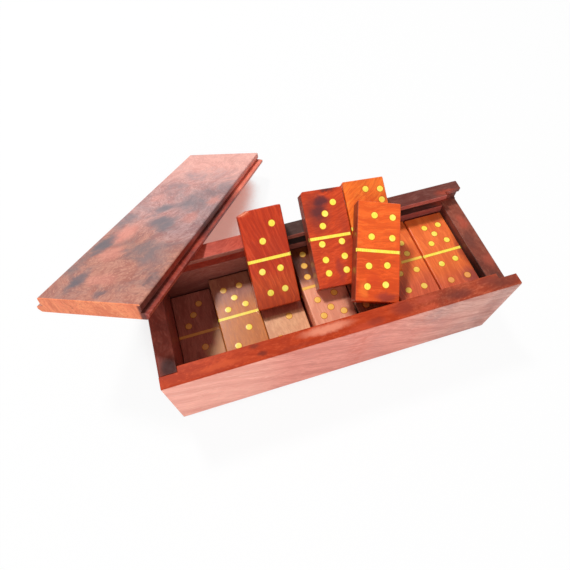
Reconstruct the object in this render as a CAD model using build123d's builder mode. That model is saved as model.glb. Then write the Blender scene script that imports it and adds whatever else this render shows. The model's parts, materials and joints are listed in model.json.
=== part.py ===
from build123d import *
from math import asin, cos, degrees, radians, sin
from random import Random
import os

# A wooden domino box with a lid that slides in grooves, and its set of 28 wooden tiles with
# inlaid pips. The lid is off and leans over the back wall, four tiles lean on that wall, and
# the others lie in seven columns in the box.
# Millimetres. The origin is the middle of the box's underside, +X runs along the box to the
# end where the lid slides in, +Y to the back and +Z up.

# --- tiles -------------------------------------------------------------------
TILE_WIDTH = 25.0
TILE_LENGTH = 56.5
TILE_THICK = 9.1
TILE_EASE = 0.5          # bevel on a tile's edges
PIP_DIAMETER = 4.2
BAR_WIDTH = 2.0          # the inlaid bar between a tile's halves
INLAY_DEPTH = 1.2
PIP_CENTRE = 13.5        # from the bar's middle to the middle of a half's pips
DRILL_WANDER = 0.35      # how far a pip may be drilled from its marked place

# Pips of each number, in shares of the spread across and along a tile.
DIAGONAL = [(1, 1), (-1, -1)]
SQUARE = [(1, 1), (-1, 1), (-1, -1), (1, -1)]
CENTRE = [(0, 0)]
SIX = SQUARE + [(-1, 0), (1, 0)]
PATTERNS = [[], CENTRE, DIAGONAL, DIAGONAL + CENTRE, SQUARE, SQUARE + CENTRE, SIX]
SPREADS = [(0, 0), (0, 0), (4.2, 4.6), (4.4, 6.3), (5.3, 6.0), (5.3, 6.0), (5.5, 8.0)]

# --- box ---------------------------------------------------------------------
SIDE_WALL = 10.0         # thickness of the front and back walls
LEFT_END = 9.5           # thickness of the end board that stops the lid
RIGHT_END = 10.7         # thickness of the low end board, which the lid passes over
BOTTOM_THICK = 7.0
RABBET_DEPTH = 3.2       # how far the end boards and the bottom sit in the side walls
HEADROOM = 4.5           # from the full stacks to the lid's grooves
GROOVE_HEIGHT = 6.4
GROOVE_DEPTH = 4.5
LIP_HEIGHT = 3.2         # wood above each groove
BOX_EASE = 0.7           # bevel on the box's outer edges
END_PLAY = 0.75          # from a tile's end to the side wall
# Free width before each column, from the left, and after the last one.
COLUMN_GAPS = [0.1, 0.1, 0.1, 1.2, 0.6, 0.9, 0.9]
LAST_GAP = 0.9
# Where each column lies in its end play, from -1 at the front wall to 1 at the back wall.
COLUMN_SHARES = [-0.4, -0.2, 0.1, 0.7, 0.4, 0.2, -0.3]
LAYERS_WHEN_FULL = 4

# --- lid ---------------------------------------------------------------------
LID_OVERLAP = 4.2        # how far the closed lid reaches over the low end board
LID_PLAY = 0.6           # height of the groove and lip less the lid's thickness
PLATE_PLAY = 0.3         # from the lid's plate to each lip
TONGUE_PLAY = 1.8        # from a tongue to the bottom of its groove
NOTCH_STEP = 0.4         # the lid's plate edge, below the lip's height
NOTCH_HEIGHT = 1.2
NOTCH_DEPTH = 1.1        # undercut behind the lid's plate edge
TONGUE_SLOPE = 0.8       # fall of a tongue's top from the notch to its tip
TONGUE_BEVEL = 1.8
LID_EASE = 0.5

# --- how the lid and the four tiles lean ---------------------------------------
TOUCH = 0.1              # clearance kept where one piece rests on another
LID_TURN = 59.9          # degrees from the box's length to the lid's, in the lid's own slope
LID_NEAR_X = -121.5      # X of the middle of the lid's near end
LID_UPHILL = 42.1        # from the back wall's rim up the slope to the lid's near end
STEEP_SLOPE = 38.9       # degrees, the tile that leans alone
STEEP_TURN = -1.3
EASY_SLOPE = 22.3        # degrees, the three tiles that lean together
EASY_TURN = -5.0
TOP_TURN = -19.0         # the tile that lies on two others
LEAN_GAP = 0.8           # between the two that lean side by side
STEEP_SHIFT = -1.5       # from the middle of the third column
EASY_SHIFT = 7.0         # from the middle of the fourth column
TOP_SHIFT = -4.2         # from the middle of the fifth column

# Columns from the left, each from its bottom tile up. A tile is named after its two numbers, with
# the number of its half towards the back wall first.
COLUMNS = [
    ["6_0", "3_2"],
    ["1_1", "4_0", "5_2"],
    ["3_3", "0_5", "1_2"],
    ["2_0", "1_6", "4_3", "6_5"],
    ["0_3", "5_1", "2_2", "5_5"],
    ["4_1", "0_0", "3_5", "6_4"],
    ["2_6", "1_3", "0_1", "5_4"],
]

# How far the middle of a half's pips strays from its marked place, back half and front half.
STRAYS = {
    "3_2": [(-1.2, -0.7), (-2.8, -0.3)],
    "5_2": [(0.1, -1.3), (-0.8, -0.2)],
    "1_2": [(0.3, 0.4), (-1.4, -0.8)],
    "6_5": [(-0.6, 1.5), (-0.9, 0.1)],
    "5_5": [(0.4, 0.3), (-1.2, -0.4)],
    "6_4": [(-1.0, -1.0), (-0.3, 0.6)],
    "5_4": [(1.4, -0.2), (1.1, 0.2)],
    "2_4": [(1.4, 0.7), (-0.4, 0.9)],
    "3_6": [(1.0, -0.3), (0.1, 1.0)],
    "6_6": [(4.4, 0.8), (0.6, 0.4)],
    "4_4": [(2.7, 0.4), (-0.4, -0.2)],
}
# Share of the usual spread, for a tile whose pips sit closer together.
SQUEEZES = {"6_6": 0.86}
# Pips drilled well off their marks: the pip's turn on its tile, and how far off it is across and
# along the tile.
OFF_MARK = {
    "5_2": {0: (-0.7, 1.3), 2: (-0.3, -1.0)},
    "1_2": {2: (0.0, -2.6)},
    "6_5": {1: (1.4, -0.2), 2: (-0.9, 0.0), 7: (-0.4, -2.0), 9: (1.3, -0.4), 10: (0.0, -1.8)},
    "5_4": {1: (1.2, 0.0), 5: (-1.1, 0.5)},
    "2_4": {1: (1.2, 0.8), 4: (2.2, -0.6)},
    "3_6": {2: (-1.1, 0.2), 3: (0.5, 0.9), 4: (-0.4, 1.1)},
    "6_6": {1: (0.7, 1.0), 4: (0.0, -2.0)},
    "4_4": {2: (-1.5, -0.2), 5: (0.2, -1.2), 7: (-0.6, 1.5)},
}

# --- sizes that follow -----------------------------------------------------------
WELL_LENGTH = len(COLUMNS) * TILE_WIDTH + sum(COLUMN_GAPS) + LAST_GAP
WELL_WIDTH = TILE_LENGTH + 2 * END_PLAY
BOX_LENGTH = LEFT_END + WELL_LENGTH + RIGHT_END
BOX_WIDTH = WELL_WIDTH + 2 * SIDE_WALL
GROOVE_FLOOR = BOTTOM_THICK + LAYERS_WHEN_FULL * TILE_THICK + HEADROOM
BOX_HEIGHT = GROOVE_FLOOR + GROOVE_HEIGHT + LIP_HEIGHT
WELL_LEFT = -BOX_LENGTH / 2 + LEFT_END
WELL_RIGHT = WELL_LEFT + WELL_LENGTH
END_BOARD_WIDTH = WELL_WIDTH + 2 * RABBET_DEPTH

LID_LENGTH = WELL_LENGTH + LID_OVERLAP
LID_THICK = GROOVE_HEIGHT + LIP_HEIGHT - LID_PLAY
PLATE_WIDTH = WELL_WIDTH - 2 * PLATE_PLAY
TONGUE_SPAN = WELL_WIDTH + 2 * (GROOVE_DEPTH - TONGUE_PLAY)


# --- box ---------------------------------------------------------------------
def side_wall(side):
    """The back wall (side 1) or the front wall (side -1), grooved for the lid."""
    inner = side * WELL_WIDTH / 2
    outer = side * BOX_WIDTH / 2
    to_outer = Align.MIN if side > 0 else Align.MAX
    low = (to_outer, Align.MIN)
    with BuildPart() as wall:
        with BuildSketch(Plane.YZ.offset(-BOX_LENGTH / 2)) as section:
            with Locations((inner, 0)):
                Rectangle(SIDE_WALL, BOX_HEIGHT, align=low)
            chamfer(section.vertices().filter_by(lambda v: abs(v.X - outer) < BOX_EASE), BOX_EASE)
            with Locations((inner, 0)):
                Rectangle(RABBET_DEPTH, BOTTOM_THICK, align=low, mode=Mode.SUBTRACT)
        extrude(amount=BOX_LENGTH)
        with BuildSketch(Plane.YZ.offset(WELL_LEFT)):
            with Locations((inner, GROOVE_FLOOR)):
                Rectangle(GROOVE_DEPTH, GROOVE_HEIGHT, align=low)
        extrude(amount=BOX_LENGTH / 2 - WELL_LEFT, mode=Mode.SUBTRACT)
        rabbet = (Align.MIN, to_outer, Align.MIN)
        with Locations((-BOX_LENGTH / 2, inner, 0)):
            Box(LEFT_END, RABBET_DEPTH, BOX_HEIGHT, align=rabbet, mode=Mode.SUBTRACT)
        with Locations((WELL_RIGHT, inner, 0)):
            Box(RIGHT_END, RABBET_DEPTH, BOX_HEIGHT, align=rabbet, mode=Mode.SUBTRACT)
        ends = wall.faces().filter_by(Axis.Y).sort_by(Axis.Y)[-1 if side > 0 else 0]
        chamfer(ends.edges().filter_by(Axis.Z), BOX_EASE / 2)
    return wall.part


back_wall = side_wall(1)
back_wall.label = "back_wall"
front_wall = side_wall(-1)
front_wall.label = "front_wall"

with BuildPart() as bottom:
    with Locations((WELL_LEFT, 0, 0)):
        Box(WELL_LENGTH, END_BOARD_WIDTH, BOTTOM_THICK, align=(Align.MIN, Align.CENTER, Align.MIN))
bottom.part.label = "bottom"

with BuildPart() as left_end_board:
    with Locations((-BOX_LENGTH / 2, 0, 0)):
        Box(LEFT_END, END_BOARD_WIDTH, BOX_HEIGHT, align=(Align.MIN, Align.CENTER, Align.MIN))
    outer_end = left_end_board.faces().sort_by(Axis.X)[0]
    chamfer(outer_end.edges().filter_by(Axis.Y), BOX_EASE)
left_end_board.part.label = "left_end_board"

with BuildPart() as right_end_board:
    with Locations((WELL_RIGHT, 0, 0)):
        Box(RIGHT_END, END_BOARD_WIDTH, GROOVE_FLOOR, align=(Align.MIN, Align.CENTER, Align.MIN))
    outer_end = right_end_board.faces().sort_by(Axis.X)[-1]
    chamfer(outer_end.edges().filter_by(Axis.Y), BOX_EASE)
right_end_board.part.label = "right_end_board"


# --- lid ---------------------------------------------------------------------
# The lid's underside lies on the back wall's rim, and a lower corner of its far end stands on
# the table behind the box. That fixes the slope.
turn = radians(LID_TURN)
foot_width = TONGUE_SPAN / 2 - TONGUE_BEVEL
rim_to_foot = LID_LENGTH * sin(turn) + foot_width * cos(turn) - LID_UPHILL
lid_slope = asin(BOX_HEIGHT / rim_to_foot)
downhill = Vector(0, cos(lid_slope), -sin(lid_slope))
lid_normal = Vector(0, sin(lid_slope), cos(lid_slope))
lid_along = Vector(1, 0, 0) * cos(turn) + downhill * sin(turn)
lid_across = Vector(-1, 0, 0) * sin(turn) + downhill * cos(turn)
rim_back = Vector(LID_NEAR_X, BOX_WIDTH / 2 - BOX_EASE, BOX_HEIGHT)
near_end = rim_back - downhill * LID_UPHILL + lid_normal * TOUCH
LID_PLANE = Plane(origin=near_end, x_dir=lid_across, z_dir=lid_along)

plate_half = PLATE_WIDTH / 2
tongue_half = TONGUE_SPAN / 2
plate_low = LID_THICK - LIP_HEIGHT - NOTCH_STEP
tongue_top = plate_low - NOTCH_HEIGHT
half_section = [
    (0, 0),
    (tongue_half - TONGUE_BEVEL, 0),
    (tongue_half, TONGUE_BEVEL),
    (tongue_half, tongue_top - TONGUE_SLOPE),
    (plate_half - NOTCH_DEPTH, tongue_top),
    (plate_half, plate_low),
    (plate_half, LID_THICK - LID_EASE),
    (plate_half - LID_EASE, LID_THICK),
    (0, LID_THICK),
]
with BuildPart() as lid:
    with BuildSketch(LID_PLANE):
        with BuildLine():
            Polyline(*half_section, close=True)
        make_face()
        mirror(about=Plane.YZ)
    extrude(amount=LID_LENGTH)
lid.part.label = "lid"


# --- tiles -------------------------------------------------------------------
def pip_spots(name):
    """Places of a tile's pips, across and along it, with the back half first."""
    numbers = [int(number) for number in name.split("_")]
    wander = Random(len(PATTERNS) * numbers[0] + numbers[1])
    squeeze = SQUEEZES.get(name, 1)
    strays = STRAYS.get(name, [(0, 0), (0, 0)])
    off_mark = OFF_MARK.get(name, {})
    middles = (PIP_CENTRE, -PIP_CENTRE)
    spots = []
    for number, (stray_x, stray_y), middle_y in zip(numbers, strays, middles):
        spread_x, spread_y = SPREADS[number]
        for share_x, share_y in PATTERNS[number]:
            marked_x = stray_x + squeeze * spread_x * share_x
            marked_y = middle_y + stray_y + squeeze * spread_y * share_y
            off_x, off_y = off_mark.get(len(spots), (0, 0))
            pip_x = marked_x + off_x + wander.uniform(-DRILL_WANDER, DRILL_WANDER)
            pip_y = marked_y + off_y + wander.uniform(-DRILL_WANDER, DRILL_WANDER)
            spots.append((pip_x, pip_y, TILE_THICK))
    return spots


def tile_wood(seat, name):
    """A tile's wood, with its back on the seat plane and pockets for the inlays in its face."""
    on_face = (Align.CENTER, Align.CENTER, Align.MAX)
    with BuildPart(seat) as wood:
        Box(TILE_WIDTH, TILE_LENGTH, TILE_THICK, align=(Align.CENTER, Align.CENTER, Align.MIN))
        chamfer(wood.edges(), TILE_EASE)
        with Locations((0, 0, TILE_THICK)):
            Box(TILE_WIDTH, BAR_WIDTH, INLAY_DEPTH, align=on_face, mode=Mode.SUBTRACT)
        spots = pip_spots(name)
        if spots:
            with Locations(*spots):
                Cylinder(PIP_DIAMETER / 2, INLAY_DEPTH, align=on_face, mode=Mode.SUBTRACT)
    return wood.part


def tile_inlays(seat, name):
    """A tile's bar and pips, flush with its face."""
    on_face = (Align.CENTER, Align.CENTER, Align.MAX)
    with BuildPart(seat) as inlays:
        with Locations((0, 0, TILE_THICK)):
            Box(TILE_WIDTH, BAR_WIDTH, INLAY_DEPTH, align=on_face)
        across_bar = inlays.edges().filter_by(Axis(seat.origin, seat.y_dir))
        chamfer(across_bar.sort_by(Axis(seat.origin, seat.z_dir))[-2:], TILE_EASE)
        spots = pip_spots(name)
        if spots:
            with Locations(*spots):
                Cylinder(PIP_DIAMETER / 2, INLAY_DEPTH, align=on_face)
    return inlays.part


def column_middle(column):
    """X of a column's middle."""
    return WELL_LEFT + sum(COLUMN_GAPS[:column + 1]) + (column + 0.5) * TILE_WIDTH


def stack_top(layers):
    """Height of the top face of so many layers of tiles."""
    return BOTTOM_THICK + layers * TILE_THICK


def leaning_seat(x, slope, tilt, slip, lift):
    """The plane under a tile that leans on the back wall's inner rim.

    slope is the slope's angle and tilt the tile's turn in the slope. slip runs down the slope
    from the rim to the middle of the tile's lower end. lift is measured square to the slope.
    """
    uphill = Vector(0, cos(slope), sin(slope))
    normal = Vector(0, -sin(slope), cos(slope))
    across = Vector(cos(tilt), 0, 0) + uphill * sin(tilt)
    along = Vector(-sin(tilt), 0, 0) + uphill * cos(tilt)
    lower_end = Vector(x, WELL_WIDTH / 2, BOX_HEIGHT) - uphill * slip + normal * (TOUCH + lift)
    return Plane(origin=lower_end + along * (TILE_LENGTH / 2), x_dir=across, z_dir=normal)


def slip_onto(height, slope, tilt):
    """How far a leaning tile slips until its lower corner is just above this height."""
    corner_drop = TILE_WIDTH / 2 * abs(sin(tilt)) * sin(slope)
    rim_drop = BOX_HEIGHT + TOUCH * cos(slope) - (height + TOUCH)
    return (rim_drop - corner_drop) / sin(slope)


def slip_to_front(slope, tilt, lift):
    """How far a leaning tile slips until its lower corner is just behind the front wall."""
    corner_reach = TILE_WIDTH / 2 * abs(sin(tilt)) * cos(slope)
    face_reach = (TOUCH + lift + TILE_THICK) * sin(slope)
    return (WELL_WIDTH - 2 * TOUCH - face_reach - corner_reach) / cos(slope)


steep = radians(STEEP_SLOPE)
easy = radians(EASY_SLOPE)
steep_tilt = radians(STEEP_TURN)
easy_tilt = radians(EASY_TURN)
top_tilt = radians(TOP_TURN)
steep_slip = slip_onto(stack_top(len(COLUMNS[2])), steep, steep_tilt)
easy_slip = slip_onto(stack_top(len(COLUMNS[4])), easy, easy_tilt)
top_lift = TILE_THICK + TOUCH
top_slip = slip_to_front(easy, top_tilt, top_lift)
steep_x = column_middle(2) + STEEP_SHIFT
easy_x = column_middle(3) + EASY_SHIFT
easy_next_x = easy_x + (TILE_WIDTH + LEAN_GAP) / cos(easy_tilt)
top_x = column_middle(4) + TOP_SHIFT

# Seat plane and name of every tile, and whether it is shut in at the bottom of a column that
# others lean on.
placed = [
    (leaning_seat(steep_x, steep, steep_tilt, steep_slip, 0), "2_4", False),
    (leaning_seat(easy_x, easy, easy_tilt, easy_slip, 0), "3_6", False),
    (leaning_seat(easy_next_x, easy, easy_tilt, easy_slip, 0), "6_6", False),
    (leaning_seat(top_x, easy, top_tilt, top_slip, top_lift), "4_4", False),
]
for column, stack in enumerate(COLUMNS):
    leant_on = 0 < column < len(COLUMNS) - 1
    for layer, name in enumerate(stack):
        middle = (column_middle(column), COLUMN_SHARES[column] * END_PLAY, stack_top(layer))
        placed.append((Plane(origin=middle), name, leant_on and layer == 0))

tile_parts = []
shut_in_inlays = []
for seat, name, shut_in in placed:
    wood = tile_wood(seat, name)
    wood.label = f"tile_{name}"
    tile_parts.append(wood)
    inlays = tile_inlays(seat, name)
    inlays.label = f"inlays_{name}"
    if shut_in:
        shut_in_inlays.extend(inlays.solids())
    else:
        tile_parts.append(inlays)

# Bars and pips of the tiles that are shut in, each its own solid, share one node.
shared_inlays = Compound(children=shut_in_inlays, label="inlays_shut_in")

# --- files -------------------------------------------------------------------
os.makedirs("parts", exist_ok=True)
box_parts = [front_wall, back_wall, bottom.part, left_end_board.part, right_end_board.part]
for piece in box_parts + [lid.part] + tile_parts + [shared_inlays]:
    export_step(piece, f"parts/{piece.label}.step")

print(f"box {BOX_LENGTH:.1f} x {BOX_WIDTH:.1f} x {BOX_HEIGHT:.1f}, well {WELL_LENGTH:.1f} x {WELL_WIDTH:.1f}")
print(f"lid {LID_LENGTH:.1f} x {TONGUE_SPAN:.1f} x {LID_THICK:.1f}, slope {degrees(lid_slope):.1f} degrees")
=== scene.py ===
# %% [markdown]
# # A wooden domino box and its tiles
#
# A long box of burl wood lies open. Its sliding lid leans over the back wall, four tiles lean
# beside it, and the rest of a double-six set fills the well. The CAD model gives every piece its
# place and size. This lesson gives the pieces soft edges, real inlays and polished wood.

# %% Load the frame
import json
from math import cos, degrees, radians, sin
from random import Random

import bmesh
import bpy
from mathutils import Matrix, Vector

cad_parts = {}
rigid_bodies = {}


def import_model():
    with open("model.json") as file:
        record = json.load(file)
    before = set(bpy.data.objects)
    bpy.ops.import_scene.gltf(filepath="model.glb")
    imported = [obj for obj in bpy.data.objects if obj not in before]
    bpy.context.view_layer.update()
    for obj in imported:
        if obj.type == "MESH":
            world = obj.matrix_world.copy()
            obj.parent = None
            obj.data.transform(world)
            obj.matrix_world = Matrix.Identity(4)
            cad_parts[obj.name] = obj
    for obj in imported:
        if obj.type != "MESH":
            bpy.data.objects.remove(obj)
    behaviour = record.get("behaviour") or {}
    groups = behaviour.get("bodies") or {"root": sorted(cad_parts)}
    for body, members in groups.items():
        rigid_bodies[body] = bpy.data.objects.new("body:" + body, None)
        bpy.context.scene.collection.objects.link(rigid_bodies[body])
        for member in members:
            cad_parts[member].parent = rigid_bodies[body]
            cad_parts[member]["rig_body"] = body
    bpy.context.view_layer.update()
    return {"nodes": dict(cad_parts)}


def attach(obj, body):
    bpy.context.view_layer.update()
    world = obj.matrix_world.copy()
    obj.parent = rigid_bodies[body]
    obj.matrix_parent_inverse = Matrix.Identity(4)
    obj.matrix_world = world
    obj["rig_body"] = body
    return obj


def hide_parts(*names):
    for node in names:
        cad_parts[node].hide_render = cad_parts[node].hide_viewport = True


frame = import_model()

nodes = frame["nodes"]
MM = 0.001

# %% [markdown]
# ## The camera
#
# The photo looks down steeply from a little left of the front, from so near that the lens must be
# wide. A camera could be aimed by hand, but its angles were worked out from the box's corners, so
# they are written here as angles and turned into a matrix: right, up and back are its columns.

# %% Camera
CAMERA_AZIMUTH = radians(-17.78)
CAMERA_HEIGHT_ANGLE = radians(61.16)
CAMERA_ROLL = radians(0.41)
CAMERA_DISTANCE = 0.30916
CAMERA_TARGET = Vector((-0.01546, 0.02899, 0))
FOCAL_LENGTH_MM = 28.1
NEAREST_SEEN = 10 * MM

level = cos(CAMERA_HEIGHT_ANGLE)
back = Vector((sin(CAMERA_AZIMUTH) * level, -cos(CAMERA_AZIMUTH) * level, sin(CAMERA_HEIGHT_ANGLE)))
flat_right = (-back).cross(Vector((0, 0, 1))).normalized()
flat_up = back.cross(flat_right)
right = cos(CAMERA_ROLL) * flat_right + sin(CAMERA_ROLL) * flat_up
up = cos(CAMERA_ROLL) * flat_up - sin(CAMERA_ROLL) * flat_right

lens = bpy.data.cameras.new("camera")
lens.lens = FOCAL_LENGTH_MM
lens.clip_start = NEAREST_SEEN
camera = bpy.data.objects.new("camera", lens)
camera.matrix_world = Matrix.Translation(CAMERA_TARGET + back * CAMERA_DISTANCE) @ Matrix(
    (right, up, back)).transposed().to_4x4()
bpy.context.scene.collection.objects.link(camera)
bpy.context.scene.camera = camera
bpy.context.scene.view_settings.view_transform = "Standard"
print("camera at", [round(v, 3) for v in camera.matrix_world.translation])

# %% [markdown]
# ## Helpers for materials
#
# Every surface here is drawn by a tree of nodes. In the editor each node is added and joined by
# hand. In a script that takes three lines a node, so a few helpers add a node, set its values and
# join it in one call. A value can be a plain number or another node's output.

# %% Materials and nodes
def material_with_nodes(name):
    """A new material, its node tree and its shader node."""
    material = bpy.data.materials.new(name)
    material.use_nodes = True
    tree = material.node_tree
    return material, tree, tree.nodes["Principled BSDF"]


def add_node(tree, kind, **settings):
    """Adds a node, with its properties set by name and its sockets by number in inputs."""
    node = tree.nodes.new(kind)
    sockets = settings.pop("inputs", {})
    for name, value in settings.items():
        setattr(node, name, value)
    for socket, value in sockets.items():
        if isinstance(value, bpy.types.NodeSocket):
            tree.links.new(value, node.inputs[socket])
        else:
            node.inputs[socket].default_value = value
    return node


def noise(tree, place, scale, detail=2.0, roughness=0.5, distortion=0.0):
    """Smooth noise at a place, as a value socket and a colour socket."""
    node = add_node(tree, "ShaderNodeTexNoise", inputs={
        "Vector": place, "Scale": scale, "Detail": detail, "Roughness": roughness,
        "Distortion": distortion})
    return node.outputs["Fac"], node.outputs["Color"]


def step(tree, value, low, high, to_low=0.0, to_high=1.0):
    """Maps a value smoothly from low..high to to_low..to_high."""
    node = add_node(tree, "ShaderNodeMapRange", interpolation_type="SMOOTHSTEP", inputs={
        "Value": value, "From Min": low, "From Max": high, "To Min": to_low, "To Max": to_high})
    return node.outputs["Result"]


def maths(tree, operation, a, b=0.0):
    """One step of arithmetic."""
    return add_node(tree, "ShaderNodeMath", operation=operation, inputs={0: a, 1: b}).outputs[0]


def vector_maths(tree, operation, a, b):
    """One step of arithmetic on vectors."""
    return add_node(tree, "ShaderNodeVectorMath", operation=operation, inputs={0: a, 1: b}).outputs[0]


def blend(tree, share, a, b):
    """Mixes two colours."""
    node = add_node(tree, "ShaderNodeMix", data_type="RGBA")
    for socket, value in ((0, share), (6, a), (7, b)):
        if isinstance(value, bpy.types.NodeSocket):
            tree.links.new(value, node.inputs[socket])
        else:
            node.inputs[socket].default_value = value
    return node.outputs[2]


print("helpers ready, blank materials:", len(bpy.data.materials))

# %% [markdown]
# ## Floor and light
#
# The box stands on a plain white table. The shadows in the photo all fall towards the front, and
# their lengths give one large lamp high up behind the box. The front is bright too, so a wide
# soft lamp stands low before it, and the rest is the white room. The floor is mostly white to the
# camera whatever falls on it, and the rest of its colour takes the shadows. Only in the pocket
# behind the box, which the lid covers, does the floor show its true shade, and there a painted red
# reflection of the wood tinges it. An Ambient Occlusion node finds that pocket. It would find the
# foot of the front wall as well, so the painted tinge stops at a line below the box.

# %% Floor material
POCKET_REACH = 120 * MM
TINGE_STARTS = 30 * MM
TINGE_IS_FULL = 45 * MM
OPEN_FLOOR = 0.86
# The red tinge is a painted reflection of the red wood on the table.
PAINTED_RED_REFLECTION_FLOOR = (1.0, 0.44, 0.36, 1)
PAINTED_RED_REFLECTION_WHITE = (1.0, 0.54, 0.45, 1)


def table_material():
    """White to the camera where the table is open, its true shade and a painted red reflection where it
    isn't.
    """
    material, tree, shader = material_with_nodes("white_table")
    shader.inputs["Roughness"].default_value = 0.8
    shader.inputs["Specular IOR Level"].default_value = 0.1
    covered = add_node(tree, "ShaderNodeAmbientOcclusion", samples=24,
                       inputs={"Distance": POCKET_REACH}).outputs["AO"]
    whiteness = step(tree, covered, 0.28, 0.52, 0.4, 0.94)
    openness = step(tree, covered, 0.31, 0.46)

    where = add_node(tree, "ShaderNodeTexCoord").outputs["Object"]
    backwards = add_node(tree, "ShaderNodeSeparateXYZ", inputs={0: where}).outputs["Y"]
    before_box = add_node(tree, "ShaderNodeMapRange", inputs={
        "Value": backwards, "From Min": TINGE_IS_FULL, "From Max": TINGE_STARTS}).outputs["Result"]
    untinged = maths(tree, "MAXIMUM", openness, before_box)
    tree.links.new(blend(tree, untinged, PAINTED_RED_REFLECTION_FLOOR, (OPEN_FLOOR, OPEN_FLOOR, OPEN_FLOOR, 1)),
                   shader.inputs["Base Color"])

    white = add_node(tree, "ShaderNodeEmission", inputs={
        "Color": blend(tree, untinged, PAINTED_RED_REFLECTION_WHITE, (1, 1, 1, 1)), "Strength": 1.0})
    seen = add_node(tree, "ShaderNodeLightPath").outputs["Is Camera Ray"]
    mix = add_node(tree, "ShaderNodeMixShader", inputs={
        0: maths(tree, "MULTIPLY", seen, whiteness), 1: shader.outputs[0], 2: white.outputs[0]})
    tree.links.new(mix.outputs[0], tree.nodes["Material Output"].inputs["Surface"])
    return material


table_white = table_material()
print("floor material has", len(table_white.node_tree.nodes), "nodes")

# %% Floor
FLOOR_REACH = 3
GAP_UNDER_BOX = 0.2 * MM

bm = bmesh.new()
bmesh.ops.create_grid(bm, x_segments=1, y_segments=1, size=FLOOR_REACH)
bmesh.ops.translate(bm, vec=(0, 0, -GAP_UNDER_BOX), verts=bm.verts)
mesh = bpy.data.meshes.new("table_top")
bm.to_mesh(mesh)
bm.free()
mesh.materials.append(table_white)
floor = bpy.data.objects.new("table_top", mesh)
bpy.context.scene.collection.objects.link(floor)
print("floor is", round(mesh.vertices[1].co.x - mesh.vertices[0].co.x, 1), "m wide")

# %% Lamps
LAMPS_LOOK_AT = Vector((0, 0.02, 0.03))


def add_lamp(name, direction, distance, size, energy):
    """A round area lamp that looks at the box from a direction."""
    toward = Vector(direction).normalized()
    data = bpy.data.lights.new(name, "AREA")
    data.shape = "DISK"
    data.size = size
    data.energy = energy
    lamp = bpy.data.objects.new(name, data)
    lamp.location = LAMPS_LOOK_AT + toward * distance
    lamp.rotation_mode = "QUATERNION"
    lamp.rotation_quaternion = toward.to_track_quat("Z", "Y")
    bpy.context.scene.collection.objects.link(lamp)
    print(name, "at", [round(v, 2) for v in lamp.location])


add_lamp("window", direction=(-0.24, 0.50, 1.0), distance=1.1, size=0.17, energy=8.8)
add_lamp("front_fill", direction=(-0.3, -1.0, 0.36), distance=1.2, size=0.8, energy=7.1)

# %% [markdown]
# The room is a plain white world. It lights the box only a little, yet the camera and the
# polished wood see it at full white, which is why it has two backgrounds.

# %% Room
ROOM_LIGHT = 0.35

world = bpy.data.worlds.new("white_room")
world.use_nodes = True
bpy.context.scene.world = world
tree = world.node_tree
room = tree.nodes["Background"]
room.inputs["Color"].default_value = (1, 1, 1, 1)
room.inputs["Strength"].default_value = ROOM_LIGHT
seen_room = add_node(tree, "ShaderNodeBackground", inputs={"Color": (1, 1, 1, 1), "Strength": 1.0})
rays = add_node(tree, "ShaderNodeLightPath").outputs
mix = add_node(tree, "ShaderNodeMixShader", inputs={
    0: maths(tree, "MAXIMUM", rays["Is Camera Ray"], rays["Is Glossy Ray"]),
    1: room.outputs[0], 2: seen_room.outputs[0]})
tree.links.new(mix.outputs[0], tree.nodes["World Output"].inputs["Surface"])
print("room strength", ROOM_LIGHT)

# %% [markdown]
# ## Burl wood
#
# Thuya burl is red-brown with a fine streaky grain that swirls round clouds of darker wood and
# clusters of small eyes. An image could give that, but a node group gives it at any scale, on all
# sides and different on every piece. It reads where a point lies in its own piece, with the grain
# along Y, which each piece carries as an attribute. Two noises bend that place, so that
# everything drawn on it swirls, and stretching it along Y makes the streaks.

# %% Bend a place
def scaled(tree, vector, factor):
    """A vector made longer or shorter."""
    return add_node(tree, "ShaderNodeVectorMath", operation="SCALE",
                    inputs={0: vector, "Scale": factor}).outputs[0]


def push_of(tree, place, scale, detail, roughness, reach):
    """A noise as a push to any side, as long as reach at most."""
    sideways = vector_maths(tree, "SUBTRACT", noise(tree, place, scale, detail, roughness)[1],
                            (0.5, 0.5, 0.5))
    return scaled(tree, sideways, reach)


print("helpers that bend a place ready")

# %% Sizes of the figure
# The features of the figure, as noise scales: the larger the scale, the finer the feature.
WIDE_BENDS = 26
NARROW_BENDS = 150
CLOUDS = 48
CLUSTERS = 55
BANDS = 150
EYES = 420
STREAKS = 900
PORES = 3600
# How far the bends reach, in metres, for a swirl of 1.
WIDE_REACH = 0.030
NARROW_REACH = 0.0035
GROWTH_LINES_PER_BAND = 9.0
# How far apart two seeds read the noises, in metres.
SEED_STEP = (1.37, 0.73, 2.11)
print("the finest pores are about", round(1000 / PORES, 2), "mm apart")

# %% Sockets of the figure
def figure_sockets(group):
    """Gives the group its sockets: numbers, the five tones, and what it hands back."""
    vector, number, tint = "NodeSocketVector", "NodeSocketFloat", "NodeSocketColor"
    given = {"Place": vector, "Seed": number, "Dark": tint, "Middle": tint, "Light": tint,
             "Cloud": tint, "Knot": tint, "Cloud amount": number, "Eye amount": number,
             "Grain stretch": number, "Swirl": number, "Line amount": number,
             "Cloud boost": number, "Fineness": number}
    made = {"Color": tint, "Roughness": number, "Height": number}
    for sockets, way in ((given, "INPUT"), (made, "OUTPUT")):
        for name, kind in sockets.items():
            group.interface.new_socket(name, in_out=way, socket_type=kind)


burl_figure = bpy.data.node_groups.new("burl_figure", "ShaderNodeTree")
figure_sockets(burl_figure)
print("the figure has", len(burl_figure.interface.items_tree), "sockets")

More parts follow.
